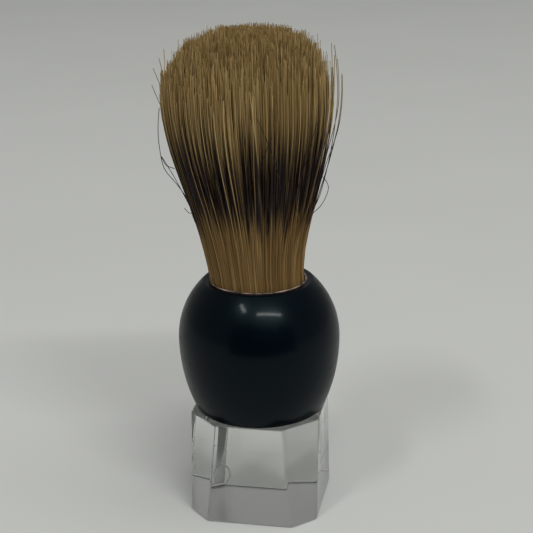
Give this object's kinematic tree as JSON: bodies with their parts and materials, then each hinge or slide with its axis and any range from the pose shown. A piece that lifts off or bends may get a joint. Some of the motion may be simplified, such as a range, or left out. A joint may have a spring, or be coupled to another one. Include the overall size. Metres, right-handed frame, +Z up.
{
  "type": "shaving brush",
  "caption": "Shaving brush with a flared bristle tuft set in a round glossy resin handle on a clear block foot.",
  "frame": {"origin": "centre of the foot's underside, on the surface that the brush stands on", "axes": "+Z up along the handle's axis to the tuft, with X and Y square to the foot's flats"},
  "size_m": [0.0348, 0.0348, 0.1048],
  "materials": {
    "clear_foot": "clear polished acrylic",
    "handle_resin": "black polished resin",
    "cement": "set cement, a little cloudy",
    "plug_resin": "dark cast resin",
    "thread": "waxed linen thread",
    "bristle": "tan boar bristle with a dark band"
  },
  "bodies": {
    "handle": {"foot_block": "clear_foot", "foot_cement": "cement", "handle_ball": "handle_resin", "socket_cement": "cement", "rim_bead": "cement", "knot_plug": "plug_resin", "butt_whipping": "thread", "bristle_roots": "bristle"},
    "lower_tuft": {"lower_bristles": "bristle"},
    "upper_tuft": {"upper_bristles": "bristle"}
  },
  "joints": [
    {"name": "tuft_bend_front_back", "type": "hinge", "parent": "handle", "child": "lower_tuft", "pos_m": [0, 0, 0.06159], "axis": [1, 0, 0], "range_deg": [-30, 30], "stiffness_Nm_per_rad": 0.2},
    {"name": "tuft_bend_side", "type": "hinge", "parent": "lower_tuft", "child": "upper_tuft", "pos_m": [0, 0, 0.07799], "axis": [0, 1, 0], "range_deg": [-30, 30], "stiffness_Nm_per_rad": 0.15}
  ]
}
